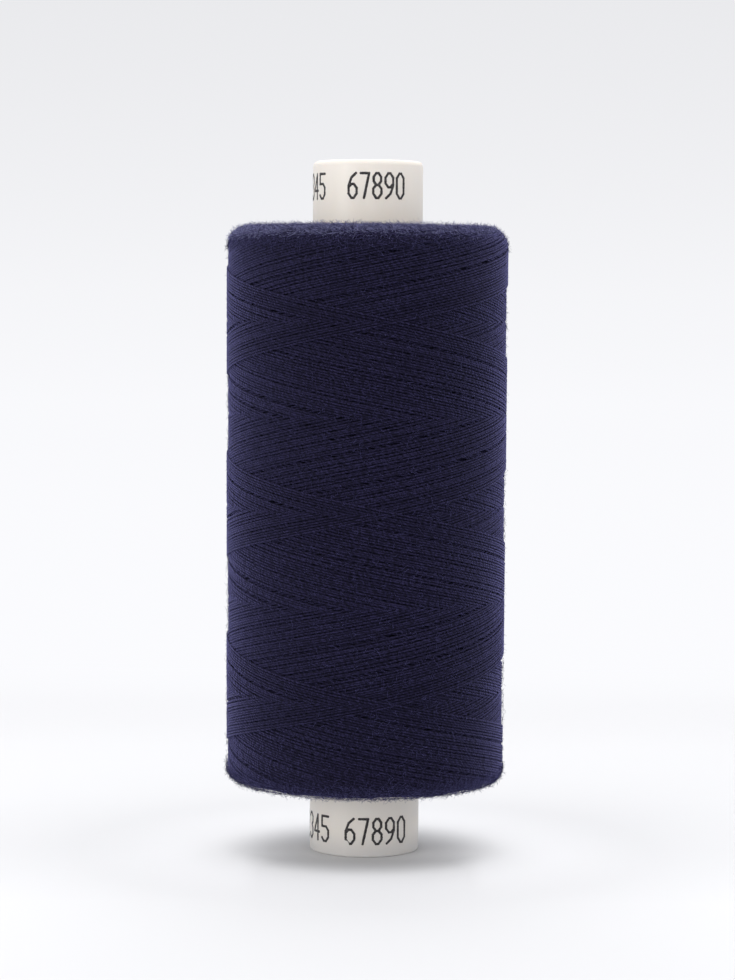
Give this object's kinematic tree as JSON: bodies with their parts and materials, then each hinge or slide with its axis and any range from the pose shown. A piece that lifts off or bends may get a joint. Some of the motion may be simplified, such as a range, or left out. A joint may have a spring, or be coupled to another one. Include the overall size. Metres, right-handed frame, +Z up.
{
  "type": "spool of thread",
  "caption": "Sewing thread cross-wound into a straight package with rounded shoulders on an open plastic tube that stands out at both ends.",
  "frame": {"origin": "on the tube's axis, in the plane of its foot", "axes": "+Z up along the tube's axis, from the foot that it stands on"},
  "size_m": [0.0314, 0.0314, 0.078],
  "materials": {
    "tube": "ivory moulded plastic, satin",
    "thread_inner": "dark navy spun polyester thread",
    "thread": "dark navy spun polyester thread"
  },
  "bodies": {
    "root": {"spool_tube": "tube", "thread_inner_layers": "thread_inner", "thread_outer_layer": "thread"}
  },
  "joints": []
}
